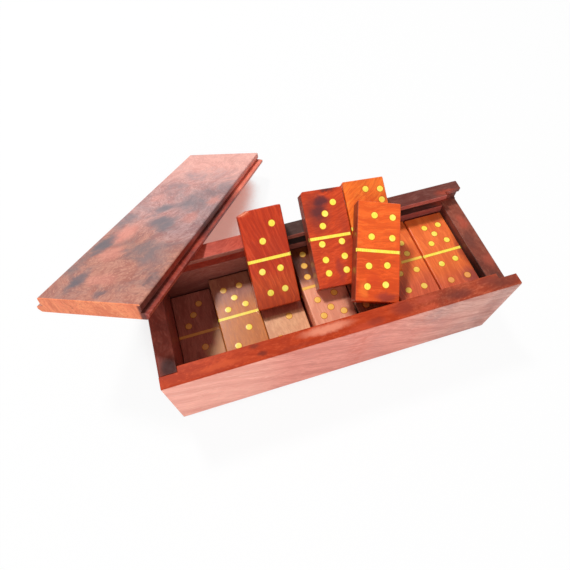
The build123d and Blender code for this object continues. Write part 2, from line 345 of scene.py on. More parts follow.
# %% Parts of the figure
def bent_place(group, given):
    """Where a point lies in its piece, moved away for each seed, and the same place bent."""
    place = vector_maths(group, "ADD", given["Place"], scaled(group, SEED_STEP, given["Seed"]))
    wide = push_of(group, place, WIDE_BENDS, 1.0, 0.5,
                   maths(group, "MULTIPLY", given["Swirl"], WIDE_REACH))
    narrow = push_of(group, place, NARROW_BENDS, 2.0, 0.5,
                     maths(group, "MULTIPLY", given["Swirl"], NARROW_REACH))
    return place, vector_maths(group, "ADD", place, vector_maths(group, "ADD", wide, narrow))


def growth_lines(group, bands):
    """Thin lines along the level lines of the bands, as contour lines run on a map."""
    lines = maths(group, "PINGPONG", maths(group, "MULTIPLY", bands, GROWTH_LINES_PER_BAND), 0.5)
    return step(group, lines, 0.0, 0.18, 1.0, 0.0)


def clustered_eyes(group, place, bent, amount):
    """Small round dots, only where a wide noise lets a cluster be."""
    dots = add_node(group, "ShaderNodeTexVoronoi", inputs={"Vector": bent, "Scale": EYES})
    eyes = step(group, dots.outputs["Distance"], 0.12, 0.46, 1.0, 0.0)
    cluster = step(group, noise(group, place, CLUSTERS, 2.0)[0], 0.52, 0.66)
    return maths(group, "MULTIPLY", maths(group, "MULTIPLY", eyes, cluster), amount)


print("parts of the figure ready")

# %% The wood's figure
def draw_figure(group):
    """Draws burl wood in the node group: its colour, its roughness and its relief."""
    given = group.nodes.new("NodeGroupInput").outputs
    place, bent = bent_place(group, given)
    stretch = add_node(group, "ShaderNodeCombineXYZ", inputs={
        0: 1.0, 1: given["Grain stretch"], 2: 1.0}).outputs[0]
    drawn = vector_maths(group, "MULTIPLY", bent, stretch)

    bands = noise(group, scaled(group, drawn, given["Fineness"]), BANDS, 5.0, 0.6)[0]
    streaks = noise(group, drawn, STREAKS, 4.0, 0.65)[0]
    pores = noise(group, drawn, PORES, 2.0)[0]
    clouds = noise(group, bent, CLOUDS, 6.0, 0.68)[0]

    color = blend(group, step(group, bands, 0.34, 0.62), given["Dark"], given["Middle"])
    color = blend(group, step(group, streaks, 0.50, 0.66, 0.0, 0.7), color, given["Light"])
    color = blend(group, step(group, streaks, 0.50, 0.36, 0.0, 0.75), color, given["Dark"])
    lines = maths(group, "MULTIPLY", growth_lines(group, bands), given["Line amount"])
    color = blend(group, lines, color, given["Dark"])
    clouded = step(group, maths(group, "ADD", clouds, given["Cloud boost"]), 0.42, 0.82)
    clouded = maths(group, "MULTIPLY", clouded, given["Cloud amount"])
    color = blend(group, clouded, color, given["Cloud"])
    eyes = clustered_eyes(group, place, bent, given["Eye amount"])
    color = blend(group, eyes, color, given["Knot"])
    open_pores = step(group, pores, 0.62, 0.74)
    color = blend(group, maths(group, "MULTIPLY", open_pores, 0.35), color, given["Knot"])

    roughness = step(group, streaks, 0.3, 0.7, 0.28, 0.38)
    height = maths(group, "SUBTRACT", streaks, maths(group, "MULTIPLY", open_pores, 0.8))

    taken = group.nodes.new("NodeGroupOutput").inputs
    group.links.new(color, taken["Color"])
    group.links.new(roughness, taken["Roughness"])
    group.links.new(height, taken["Height"])


draw_figure(burl_figure)
print("figure group has", len(burl_figure.nodes), "nodes")

# %% [markdown]
# ## Polished wood
#
# Each piece gets a material of its own around that group. A painter would mix three or four tones
# of one wood, so a helper makes them from one colour. A piece can also have skins: zones of it
# that show other tones, such as an end face, a side that was cut from darker wood, or a side with
# painted shade or a painted sheen. Knots, stains, painted shadows and painted highlights are placed
# one by one as soft ellipses with ragged rims. Edges that hands have rubbed are paler. The Bevel node
# finds them: where its rounded normal leaves the true one, an edge is near.

# %% Colours of wood
TONES = ("Dark", "Middle", "Light", "Cloud", "Knot")


def color_of(red, green, blue):
    """A colour on screen, 0 to 255, as the linear colour a shader wants."""
    def linear(value):
        value /= 255
        return value / 12.92 if value <= 0.04045 else ((value + 0.055) / 1.055) ** 2.4
    return (linear(red), linear(green), linear(blue))


def tones(red, green, blue, contrast=1.0, cloud=None):
    """The five tones of a wood round its middle colour. Dark grain is redder, pale grain yellower."""
    middle = color_of(red, green, blue)
    dark = tuple(v * (1 - share * contrast) for v, share in zip(middle, (0.30, 0.46, 0.46)))
    light = tuple(min(0.95, v * (1 + share * contrast) + 0.01 * contrast)
                  for v, share in zip(middle, (0.18, 0.34, 0.36)))
    knot = tuple(v * 0.22 + 0.004 for v in middle)
    cloud = color_of(*cloud) if cloud else tuple(v * 0.5 for v in middle)
    return dict(zip(TONES, (dark, middle, light, cloud, knot)))


print("orange tones", {k: [round(v, 2) for v in c] for k, c in tones(240, 112, 40).items()})

# %% Zones and marks
RAGS = 190


def zone_of(tree, place, limits):
    """1 inside a zone of a piece, 0 outside. Each limit is (axis, empty at, full at), in mm."""
    sides = add_node(tree, "ShaderNodeSeparateXYZ", inputs={0: place}).outputs
    inside = None
    for axis, empty, full in limits:
        part = step(tree, sides["xyz".index(axis)], empty * MM, full * MM)
        inside = maths(tree, "MULTIPLY", inside, part) if inside else part
    return inside


def ragged_place(tree, place, reach):
    """A place pushed about by a fine noise, so that what is drawn on it has a ragged rim."""
    return vector_maths(tree, "ADD", place, push_of(tree, place, RAGS, 5.0, 0.6, reach * MM))


def ellipse(tree, spot, across, along, half_width, half_length, strength):
    """A soft ellipse on a piece's upper face, in millimetres."""
    scale = (1 / (half_width * MM), 1 / (half_length * MM), 0)
    shift = (-across / half_width, -along / half_length, 0)
    near = add_node(tree, "ShaderNodeVectorMath", operation="MULTIPLY_ADD",
                    inputs={0: spot, 1: scale, 2: shift}).outputs[0]
    away = add_node(tree, "ShaderNodeVectorMath", operation="LENGTH",
                    inputs={0: near}).outputs["Value"]
    return step(tree, away, 0.3, 1.15, strength, 0.0)


print("zones and marks ready")

# %% Rubbed edges and polish
RUBBED_WIDTH = 0.9 * MM
RUBBED_PATCHES = 240
WORN = 0.18
GLOSS = 0.22


def rubbed_edges(tree, place):
    """1 where hands have rubbed an edge, which is in patches, and 0 elsewhere."""
    rounded = add_node(tree, "ShaderNodeBevel", samples=4, inputs={"Radius": RUBBED_WIDTH})
    geometry = tree.nodes.new("ShaderNodeNewGeometry")
    same = add_node(tree, "ShaderNodeVectorMath", operation="DOT_PRODUCT", inputs={
        0: rounded.outputs[0], 1: geometry.outputs["Normal"]}).outputs["Value"]
    patchy = step(tree, noise(tree, place, RUBBED_PATCHES, 3.0)[0], 0.35, 0.6)
    return maths(tree, "MULTIPLY", step(tree, same, 0.985, 0.90), patchy)


def polish(tree, shader, color, roughness, height, relief, depth, gloss, coat):
    """Joins a colour, a roughness and a relief to the shader, and sets its gloss."""
    tree.links.new(color, shader.inputs["Base Color"])
    tree.links.new(roughness, shader.inputs["Roughness"])
    bump = add_node(tree, "ShaderNodeBump", inputs={
        "Height": height, "Strength": relief, "Distance": depth})
    tree.links.new(bump.outputs[0], shader.inputs["Normal"])
    shader.inputs["Coat Weight"].default_value = coat
    shader.inputs["Coat Roughness"].default_value = 0.2
    shader.inputs["Specular IOR Level"].default_value = gloss


print("rubbed edges are", RUBBED_WIDTH / MM, "mm wide")

# %% Wood materials
def skinned(tree, place, figure, base, skins):
    """Sets the figure's five tones, which change from zone to zone where there are skins."""
    zones = [(zone_of(tree, place, limits), skin) for limits, skin in skins]
    for tone in TONES:
        color = (*base[tone], 1)
        for inside, skin in zones:
            color = blend(tree, inside, color, (*skin[tone], 1))
        if zones:
            tree.links.new(color, figure.inputs[tone])
        else:
            figure.inputs[tone].default_value = color


def wood(name, base, skins=(), marks=(), patches=(), seed=0.0, clouds=0.3, eyes=0.0, stretch=0.07,
         swirl=0.35, lines=0.5, fine=1.0, ragged=6.0, turn=0.0, tilt=0.0, shine=GLOSS):
    """Polished wood. Skins are (zone limits, tones). Marks are ellipses of a colour, and patches
    are ellipses where clouds gather. Turn and tilt are the grain's angles in degrees, and ragged
    is how far a mark's rim wanders, in millimetres."""
    material, tree, shader = material_with_nodes(name)
    place = add_node(tree, "ShaderNodeAttribute", attribute_name="place").outputs["Vector"]
    turned = add_node(tree, "ShaderNodeVectorRotate", rotation_type="EULER_XYZ", inputs={
        "Vector": place, "Rotation": (radians(tilt), 0, radians(turn))}).outputs[0]
    figure = add_node(tree, "ShaderNodeGroup", node_tree=burl_figure, inputs={
        "Place": turned, "Seed": seed, "Cloud amount": clouds, "Eye amount": eyes,
        "Grain stretch": stretch, "Swirl": swirl, "Line amount": lines, "Fineness": fine})
    skinned(tree, place, figure, base, skins)
    color = figure.outputs["Color"]

    spot = ragged_place(tree, place, ragged) if marks or patches else None
    boost = None
    for patch in patches:
        part = ellipse(tree, spot, *patch)
        boost = maths(tree, "ADD", boost, part) if boost else part
    if boost:
        tree.links.new(boost, figure.inputs["Cloud boost"])
    for across, along, half_width, half_length, tint, strength in marks:
        inside = ellipse(tree, spot, across, along, half_width, half_length, strength)
        color = blend(tree, inside, color, (*color_of(*tint), 1))

    edge = maths(tree, "MULTIPLY", rubbed_edges(tree, place), WORN)
    color = blend(tree, edge, color, (*base["Light"], 1))
    polish(tree, shader, color, figure.outputs["Roughness"], figure.outputs["Height"], relief=0.25,
           depth=0.12 * MM, gloss=shine, coat=shine * 0.3)
    return material


print("materials so far:", [m.name for m in bpy.data.materials])

# %% [markdown]
# ## Measuring a piece
#
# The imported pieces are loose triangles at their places. A copy with its doubles merged and its
# flat triangles joined has the faces that a maker would count, so it can be measured and
# softened. The largest flat face of a tile is its plain back, which gives the tile's own axes
# wherever it leans.

# %% Helpers that measure
SAME_POINT = 0.002 * MM


def merged_copy(node):
    """A bmesh of a node whose triangles share their corners."""
    copy = bmesh.new()
    copy.from_mesh(nodes[node].data)
    bmesh.ops.remove_doubles(copy, verts=copy.verts, dist=SAME_POINT)
    return copy


def joined_copy(node):
    """A merged copy of a node with its flat triangles joined into whole faces."""
    copy = merged_copy(node)
    bmesh.ops.dissolve_limit(copy, angle_limit=radians(0.5), verts=copy.verts, edges=copy.edges)
    return copy


def own_axes(node):
    """A piece's own axes as a matrix: across, along and up from its largest face, its back."""
    copy = joined_copy(node)
    face = max(copy.faces, key=lambda f: f.calc_area())
    upward = -face.normal.normalized()
    edge = max(face.edges, key=lambda e: e.calc_length())
    along = (edge.verts[1].co - edge.verts[0].co).normalized()
    if along.y < 0:
        along.negate()
    across = along.cross(upward)
    copy.free()
    return Matrix((across, along, upward)).transposed()


def corners(vertices, axes):
    """Lowest and highest corner of some vertices, along the given axes."""
    turned = [axes.transposed() @ vertex.co for vertex in vertices]
    low = Vector([min(v[i] for v in turned) for i in range(3)])
    high = Vector([max(v[i] for v in turned) for i in range(3)])
    return low, high


def extent(node, axes):
    """Lowest and highest corner of a node, along the given axes."""
    return corners(nodes[node].data.vertices, axes)


low, high = extent("tile_4_4", own_axes("tile_4_4"))
print("a leaning tile measures", [round(v / MM, 1) for v in high - low], "mm")

# %% Round edges and finish a piece
CREASE = radians(50)


def round_edges(bm, edges, radius, segments):
    """Rounds some edges of a bmesh."""
    bmesh.ops.bevel(bm, geom=edges, offset=radius, offset_type="OFFSET", segments=segments,
                    profile=0.5, affect="EDGES", clamp_overlap=True, material=-1)


def add_piece(name, bm, axes, middle, node, material):
    """Makes a bmesh a piece that stands for a node, and keeps each point's place in it."""
    bmesh.ops.recalc_face_normals(bm, faces=bm.faces)
    mesh = bpy.data.meshes.new(name)
    bm.to_mesh(mesh)
    bm.free()
    to_own = axes.transposed()
    place = mesh.attributes.new("place", "FLOAT_VECTOR", "POINT")
    for vertex, entry in zip(mesh.vertices, place.data):
        entry.vector = to_own @ (vertex.co - middle)
    mesh.shade_smooth()
    mesh.set_sharp_from_angle(angle=CREASE)
    mesh.materials.append(material)
    piece = bpy.data.objects.new(name, mesh)
    bpy.context.scene.collection.objects.link(piece)
    even = piece.modifiers.new("flat_faces_stay_flat", "WEIGHTED_NORMAL")
    even.keep_sharp = True
    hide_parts(node)
    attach(piece, nodes[node]["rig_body"])
    return piece


print("edges turn sharp past", round(degrees(CREASE)), "degrees")

# %% [markdown]
# ## The box
#
# The walls, the two end boards and the bottom are right as they are, but their edges are razor
# sharp and real ones are sanded. So each is a softened copy: the bevel runs along every outward
# edge, small enough to keep the joints between the boards closed.

# %% Box colours
# The pale side tones are the front wall's red wood with a painted sheen, palest at the left and greyer
# at the right.
SIDE_WITH_PAINTED_SHEEN = tones(236, 158, 142, 0.7, cloud=(196, 126, 118))
LEFT_WITH_PAINTED_SHEEN = tones(248, 180, 162, 0.6, cloud=(226, 150, 136))
RIGHT_WITH_PAINTED_SHEEN = tones(220, 166, 152, 0.8, cloud=(170, 138, 138))
RIGHT_UP_WITH_PAINTED_SHEEN = tones(218, 167, 153, 0.9, cloud=(142, 124, 128))
RED_TOP = tones(192, 70, 36, 0.8, cloud=(160, 54, 34))
DARK_TOP = tones(186, 87, 60, 1.0, cloud=(92, 50, 44))
BOX_BROWN = tones(160, 80, 66, 0.9, cloud=(84, 48, 44))
RIGHT_BROWN = tones(154, 84, 66, 0.9, cloud=(78, 50, 46))
# The dark and black inside tones are painted shade on the right end board's inner face.
PAINTED_SHADE_INSIDE = tones(127, 73, 61, 0.7, cloud=(60, 44, 40))
PAINTED_DEEP_SHADE_INSIDE = tones(70, 40, 34, 0.6, cloud=(44, 32, 30))
BACK_RED = tones(191, 80, 60, 0.8, cloud=(130, 52, 42))
BACK_GREY = tones(84, 62, 56, 0.6, cloud=(52, 46, 46))
BACK_BROWN = tones(120, 68, 59, 0.9, cloud=(62, 47, 46))
BACK_INSIDE = tones(180, 96, 86, 0.8, cloud=(112, 62, 56))
BACK_INSIDE_LEFT = tones(156, 92, 78, 0.8, cloud=(98, 60, 54))
print("the front wall's side and top:", [round(v, 2) for v in SIDE_WITH_PAINTED_SHEEN["Middle"] + RED_TOP["Middle"]])

# %% Soften a board
SHARP_ENOUGH = radians(30)


def softened(node, radius):
    """A copy of a node with its outward edges rounded."""
    copy = joined_copy(node)
    sharp = [e for e in copy.edges if len(e.link_faces) == 2 and e.is_convex
             and e.calc_face_angle() > SHARP_ENOUGH]
    round_edges(copy, sharp, radius, segments=3)
    return copy


GRAIN_ALONG_X = Matrix(((0, -1, 0), (1, 0, 0), (0, 0, 1))).transposed()
GRAIN_ALONG_Y = Matrix.Identity(3)
print("the grain runs along", list(GRAIN_ALONG_X.col[1]), "or", list(GRAIN_ALONG_Y.col[1]))

# %% [markdown]
# A wall shows other tones on its outer face, on its top and inside, so each of these gets a zone.
# The front wall's outer face holds a painted sheen, and the right end board's inner face painted shade.
# Zones and marks are measured in millimetres from a piece's middle: x across the grain, y along
# it and z up. A mark is across, along, half its width, half its length, its colour and strength.

# %% Woods of the box
FRONT_OUTER_FACE = [("x", 4.6, 4.9)]
FRONT_RIGHT_TOP = [("y", 20, 55), ("x", 4.9, 4.6)]
NOT_BACK_OUTER_FACE = ("x", -5.0, -4.8)
BACK_INNER_FACE = [("x", 4.4, 4.8)]
RIGHT_INNER_FACE = [("x", -4.8, -5.2)]
BOX_WOODS = [
    # The front wall's pale mark at along -12 on its top is a painted highlight.
    ("front_wall", GRAIN_ALONG_X, wood(
        "front_wall_wood", RED_TOP, [
            (FRONT_RIGHT_TOP, DARK_TOP), (FRONT_OUTER_FACE, SIDE_WITH_PAINTED_SHEEN),
            (FRONT_OUTER_FACE + [("y", -30, -60)], LEFT_WITH_PAINTED_SHEEN),
            (FRONT_OUTER_FACE + [("y", 30, 85)], RIGHT_WITH_PAINTED_SHEEN),
            (FRONT_OUTER_FACE + [("y", 20, 60), ("z", 0, 20)], RIGHT_UP_WITH_PAINTED_SHEEN)],
        marks=[(-3.8, -50.4, 1.8, 3.4, (112, 46, 34), 0.7), (1.5, -48, 1.6, 3.0, (104, 42, 34), 0.7),
               (-1.6, -12, 3.0, 17, (246, 160, 130), 0.65), (1, -70, 2, 16, (212, 88, 48), 0.6),
               (3, 8, 2.4, 14, (200, 80, 56), 0.5), (-2, 45, 2.4, 9, (190, 84, 62), 0.6),
               (0, 92, 6, 12, (112, 58, 50), 0.6), (-1, 31, 5, 9, (130, 52, 44), 0.55),
               (2, 14, 2.4, 6, (128, 50, 40), 0.5), (3, 44, 2, 7, (210, 88, 60), 0.5),
               (1, 64, 3, 9, (104, 54, 50), 0.6), (-2, 82, 3, 7, (134, 64, 54), 0.5),
               (3, -30, 1.4, 14, (150, 52, 34), 0.5)],
        patches=[(-1, 15, 4, 8, 0.14), (1, 34, 4, 11, 0.16), (-1, 60, 4, 10, 0.14),
                 (0, 86, 5, 12, 0.16)],
        seed=3.1, clouds=0.6, stretch=0.05, swirl=0.45, ragged=4, tilt=24, shine=0.035)),
    ("back_wall", GRAIN_ALONG_X, wood(
        "back_wall_wood", BACK_RED, [
            ([NOT_BACK_OUTER_FACE, ("y", -38, -22)], BACK_GREY),
            ([NOT_BACK_OUTER_FACE, ("y", 24, 60)], BACK_BROWN),
            (BACK_INNER_FACE, BACK_INSIDE_LEFT), (BACK_INNER_FACE + [("y", 20, 50)], BACK_INSIDE)],
        marks=[(2, 90, 3, 8, (176, 74, 54), 0.7)],
        seed=5.2, clouds=0.5, stretch=0.14, swirl=0.8, shine=0.08)),
    # The left end board's dark mark at its near corner is a painted shadow of the lid.
    ("left_end_board", GRAIN_ALONG_Y, wood(
        "left_end_wood", BOX_BROWN, marks=[(1, -29, 7, 8, (54, 14, 9), 0.95)],
        seed=7.7, clouds=0.6, stretch=0.2, swirl=0.8, ragged=2, shine=0.04)),
    # The right end board's inner face holds painted shade, deepest near the front corner.
    ("right_end_board", GRAIN_ALONG_Y, wood(
        "right_end_wood", RIGHT_BROWN, [
            (RIGHT_INNER_FACE, PAINTED_SHADE_INSIDE), (RIGHT_INNER_FACE + [("y", 2, -16)], PAINTED_DEEP_SHADE_INSIDE)],
        marks=[(0, 14, 4, 7, (186, 82, 62), 0.6), (2, -16, 4, 6, (184, 86, 66), 0.6),
               (-2, 0, 4, 8, (104, 58, 50), 0.6), (0, -28, 5, 5, (92, 54, 48), 0.6)],
        seed=9.4, clouds=0.7, stretch=0.25, swirl=1.0, shine=0.1)),
    ("bottom", GRAIN_ALONG_X, wood("bottom_wood", BOX_BROWN, seed=1.3)),
]
print("woods of the box:", [node for node, axes, material in BOX_WOODS])

# %% Box pieces
BOARD_ROUND = 0.35 * MM

for node, axes, material in BOX_WOODS:
    low, high = extent(node, GRAIN_ALONG_Y)
    add_piece("soft_" + node, softened(node, BOARD_ROUND), axes, (low + high) / 2, node,
              material)
print(len(BOX_WOODS), "box pieces, rounded by", BOARD_ROUND / MM, "mm")

# %% [markdown]
# ## The lid
#
# The lid is one board whose long edges step in to a tongue. Its face is the showpiece: pale
# salmon burl with grey-mauve clouds and a few blue-black knots, which are placed one by one. Its
# paleness is partly a painted sheen, which grows towards the far end.

# %% Lid colours
# The face's tones grow paler towards the far end, where a painted sheen lies on the salmon burl.
LID_TOP = tones(192, 130, 110, 0.95, cloud=(104, 98, 102))
LID_MIDDLE = tones(207, 154, 146, 1.0, cloud=(120, 114, 120))
LID_GREY = tones(182, 141, 137, 1.0, cloud=(112, 108, 114))
LID_FAR_PAINTED_SHEEN = tones(240, 173, 158, 0.6, cloud=(190, 152, 152))
LID_NEAR_END = tones(250, 148, 102, 0.8, cloud=(214, 92, 70))
LID_EDGE = tones(166, 66, 48, 1.0, cloud=(104, 50, 44))
LID_EDGE_DARK = tones(116, 57, 48, 1.0, cloud=(68, 44, 42))
LID_EDGE_FAR = tones(248, 136, 108, 0.7, cloud=(214, 112, 94))
LID_TONGUE = tones(170, 72, 56, 1.1, cloud=(84, 44, 42))
SIDE = [("x", 26.5, 28.3), ("z", -0.5, -0.9)]
LID_SKINS = [
    ([("y", 48, 92)], LID_MIDDLE),
    ([("x", -2, 16), ("y", 40, 66), ("y", 135, 112)], LID_GREY),
    ([("y", 112, 165)], LID_FAR_PAINTED_SHEEN),
    ([("y", 0.6, 0.3)], LID_NEAR_END),
    (SIDE, LID_EDGE),
    (SIDE + [("y", 25, 14)], LID_EDGE_DARK),
    (SIDE + [("y", 62, 80), ("y", 116, 100)], LID_EDGE_DARK),
    ([("x", 29.6, 30.6), ("z", -0.5, -0.9)], LID_TONGUE),
    (SIDE + [("y", 112, 136)], LID_EDGE_FAR),
]
print("the lid has", len(LID_SKINS), "skins")

# %% [markdown]
# The clouds of the burl gather in patches, and a patch with a strength below 0 keeps them away.
# The blue-black knots and the pinkest wood are marks. All of them are measured across and along
# the lid's upper face, from the middle of its near end.

# %% Clouds and knots of the lid
BLUE_GREY = (84, 88, 98)
PINKISH = (232, 146, 128)
LID_PATCHES = [
    (18, 36, 11, 22, 0.14), (24, 118, 8, 26, 0.1), (5, 102, 15, 19, 0.18), (-15, 130, 12, 24, 0.12),
    (-3, 141, 12, 14, 0.12), (-24, 80, 5, 16, 0.14), (6, 45, 12, 12, 0.12), (4, 73, 9, 12, 0.26),
    (-4, 78, 9, 9, 0.22), (-6.5, 94.2, 6, 8, 0.18), (-25, 36, 5, 18, 0.16),
    (-21.5, 51, 6, 13, 0.2), (-15.3, 15.7, 6, 11, 0.12), (-2, 18, 14, 7, -0.2),
    (-12, 38, 9, 9, -0.15), (-14, 68, 6, 12, -0.15), (16, 80, 6, 10, -0.15), (6, 170, 40, 18, -0.2),
    (24, 104, 4, 7, -0.12), (-18, 108, 6, 7, -0.12),
]
LID_MARKS = [
    (-12, 40, 9, 9, PINKISH, 0.4), (-15, 61, 8, 13, PINKISH, 0.6), (-3, 17, 11, 6, PINKISH, 0.3),
    (18, 82, 6, 9, PINKISH, 0.35), (24, 104, 5, 8, PINKISH, 0.4), (-18, 108, 6, 7, PINKISH, 0.3),
    (-6.5, 94.2, 4, 4.5, BLUE_GREY, 0.35), (-22, 51, 6, 13, BLUE_GREY, 0.5),
    (-15.3, 15.7, 5, 10, BLUE_GREY, 0.7), (3, 6, 3.6, 4, BLUE_GREY, 0.55),
    (23.6, 17.9, 3, 5, (96, 80, 84), 0.6), (-2, 77, 6, 6, BLUE_GREY, 0.25),
    (4, 73, 5, 8, BLUE_GREY, 0.3), (16, 38, 9, 12, (136, 112, 112), 0.4),
]
print("the lid has", len(LID_PATCHES), "patches and", len(LID_MARKS), "marks")

# %% Lid
LID_ROUND = 0.4 * MM

lid_axes = own_axes("lid")
lid_wood = wood("lid_wood", LID_TOP, LID_SKINS, LID_MARKS, LID_PATCHES, seed=2.6, clouds=0.8,
                eyes=0.3, stretch=0.4, swirl=1.6, lines=0.3, ragged=9)
low, high = extent("lid", lid_axes)
lid_start = Vector(((low.x + high.x) / 2, low.y, high.z))
add_piece("soft_lid", softened("lid", LID_ROUND), lid_axes, lid_axes @ lid_start, "lid",
          lid_wood)
print("lid is", round((high.y - low.y) / MM, 1), "mm long")

# %% [markdown]
# ## The tiles
#
# A tile starts as a cube of its measured size with its edges rounded, as sanding leaves them.
# Its pips and bar are small pieces of yellow wood let into the face. They are found as the loose
# islands of the CAD inlays, and each is made again, each pip with a faint crown that catches the light.

# %% Tile bodies
TILE_ROUND = 0.7 * MM
# How far a corner is pulled in at most, in millimetres.
OFF_SQUARE = 0.12
# Corners that were knocked off: a point of the cut in millimetres, and the direction it faces.
KNOCKED = {
    "2_4": ((-9.4, 27.1, 0), (-0.354, 0.935, 0.05)),
    "3_6": ((-12.0, 27.8, 0), (-0.75, 0.66, 0.1)),
}


def tile_body(size, unevenness, knocked):
    """A block with rounded edges, its corners a little off square, round the origin."""
    block = bmesh.new()
    bmesh.ops.create_cube(block, size=1)
    bmesh.ops.scale(block, vec=size, verts=block.verts)
    for vertex in block.verts:
        pull = Vector((unevenness.uniform(0, OFF_SQUARE), unevenness.uniform(0, OFF_SQUARE), 0)) * MM
        vertex.co.x -= pull.x if vertex.co.x > 0 else -pull.x
        vertex.co.y -= pull.y if vertex.co.y > 0 else -pull.y
    if knocked:
        point, facing = knocked
        cut = bmesh.ops.bisect_plane(
            block, geom=block.verts[:] + block.edges[:] + block.faces[:],
            plane_co=Vector(point) * MM, plane_no=Vector(facing), clear_outer=True)
        rim = [e for e in cut["geom_cut"] if isinstance(e, bmesh.types.BMEdge)]
        bmesh.ops.contextual_create(block, geom=rim)
    round_edges(block, block.edges[:], TILE_ROUND, segments=4)
    return block


print("knocked corners on", list(KNOCKED))

# %% Separate the inlays
def islands(bm):
    """The separate pieces of a bmesh, each as a list of its vertices."""
    left = set(bm.verts)
    while left:
        found, edge_of_search = [], [left.pop()]
        while edge_of_search:
            vertex = edge_of_search.pop()
            found.append(vertex)
            for edge in vertex.link_edges:
                other = edge.other_vert(vertex)
                if other in left:
                    left.remove(other)
                    edge_of_search.append(other)
        yield found


copy = merged_copy("inlays_4_4")
print("inlays of the leaning double four:", len(list(islands(copy))))
copy.free()

# %% [markdown]
# A pip is a short dowel glued into a drilled hole, and the bar is a strip in a groove. Both start
# from a plain shape. An inset leaves a narrow rim, which the material draws as the glue line, and
# a second inset lifts the middle of a pip a little. The points of the rim carry the value 1 in an
# attribute named glue, and all others 0.

# %% Make an inlay
PIP_RIM = 0.45 * MM
BAR_RIM = 0.3 * MM
RIM_RISE = 0.04 * MM
CROWN_WIDTH = 0.7 * MM
CROWN_RISE = 0.06 * MM
PIP_SIDES = 28
GAP_BEFORE_ROUND = 0.02 * MM


def inset_from_glue(inlay, thickness, depth):
    """Insets an inlay's top face. Its old rim is marked as glue, and its new one isn't."""
    glue = inlay.verts.layers.float.new("glue")
    top = max(inlay.faces, key=lambda f: f.calc_center_median().z)
    for vertex in top.verts:
        vertex[glue] = 1.0
    bmesh.ops.inset_region(inlay, faces=[top], thickness=thickness, depth=depth)
    for vertex in top.verts:
        vertex[glue] = 0.0
    return top


def crowned_pip(size):
    """A disc with a sloping glue rim and a faint crown, round the origin."""
    pip = bmesh.new()
    bmesh.ops.create_cone(pip, cap_ends=True, segments=PIP_SIDES, radius1=size.x / 2,
                          radius2=size.x / 2, depth=size.z)
    top = inset_from_glue(pip, PIP_RIM, RIM_RISE)
    bmesh.ops.inset_region(pip, faces=[top], thickness=CROWN_WIDTH, depth=CROWN_RISE)
    return pip


def rounded_bar(size):
    """A bar whose upper ends are rounded as the tile's edges are, round the origin."""
    bar = bmesh.new()
    bmesh.ops.create_cube(bar, size=1)
    bmesh.ops.scale(bar, vec=size, verts=bar.verts)
    ends = [e for e in bar.edges if all(v.co.z > 0 for v in e.verts)
            and abs(e.verts[0].co.x - e.verts[1].co.x) < MM]
    round_edges(bar, ends, TILE_ROUND, segments=4)
    top = inset_from_glue(bar, BAR_RIM, 0)
    for vertex in top.verts:
        vertex.co.x *= (size.x / 2 - TILE_ROUND - GAP_BEFORE_ROUND) / abs(vertex.co.x)
    return bar


print("a pip's glue line is", PIP_RIM / MM, "mm wide")

# %% Make a tile's inlays
PROUD = 0.03 * MM
BAR_PROPORTION = 3


def inlays_of(node, axes):
    """A crowned pip or a rounded bar for each loose island of a node's mesh."""
    copy = merged_copy(node)
    made = bmesh.new()
    for island in islands(copy):
        low, high = corners(island, axes)
        size = high - low
        inlay = rounded_bar(size) if size.x > BAR_PROPORTION * size.y else crowned_pip(size)
        middle = (low + high) / 2 + Vector((0, 0, PROUD))
        bmesh.ops.translate(inlay, vec=middle, verts=inlay.verts)
        mesh = bpy.data.meshes.new("one_inlay")
        inlay.to_mesh(mesh)
        inlay.free()
        made.from_mesh(mesh)
        bpy.data.meshes.remove(mesh)
    bmesh.ops.transform(made, matrix=axes.to_4x4(), verts=made.verts)
    copy.free()
    return made


print("inlays stand", PROUD / MM, "mm proud of a tile")

# %% [markdown]
# The yellow inlays are a pale, even wood. A fine grain and a thin brown glue line round each one
# keep them from looking printed. Some are tan: on the five-four and the six-four a glue stain, and
# on the tiles that lie in shade a painted shade. So the wood can be tinted tan in a zone.

# %% Inlay wood
YELLOW = (*color_of(252, 224, 72), 1)
PALE_YELLOW = (*color_of(255, 244, 98), 1)
PALEST_YELLOW = (*color_of(255, 246, 136), 1)
STAIN_AND_SHADE_TAN = (*color_of(246, 162, 92), 1)
GLUE_AMBER = (*color_of(238, 146, 30), 1)
GLUE_BROWN = (*color_of(140, 54, 16), 1)
INLAY_STREAKS = 1500
INLAY_TONES = 300


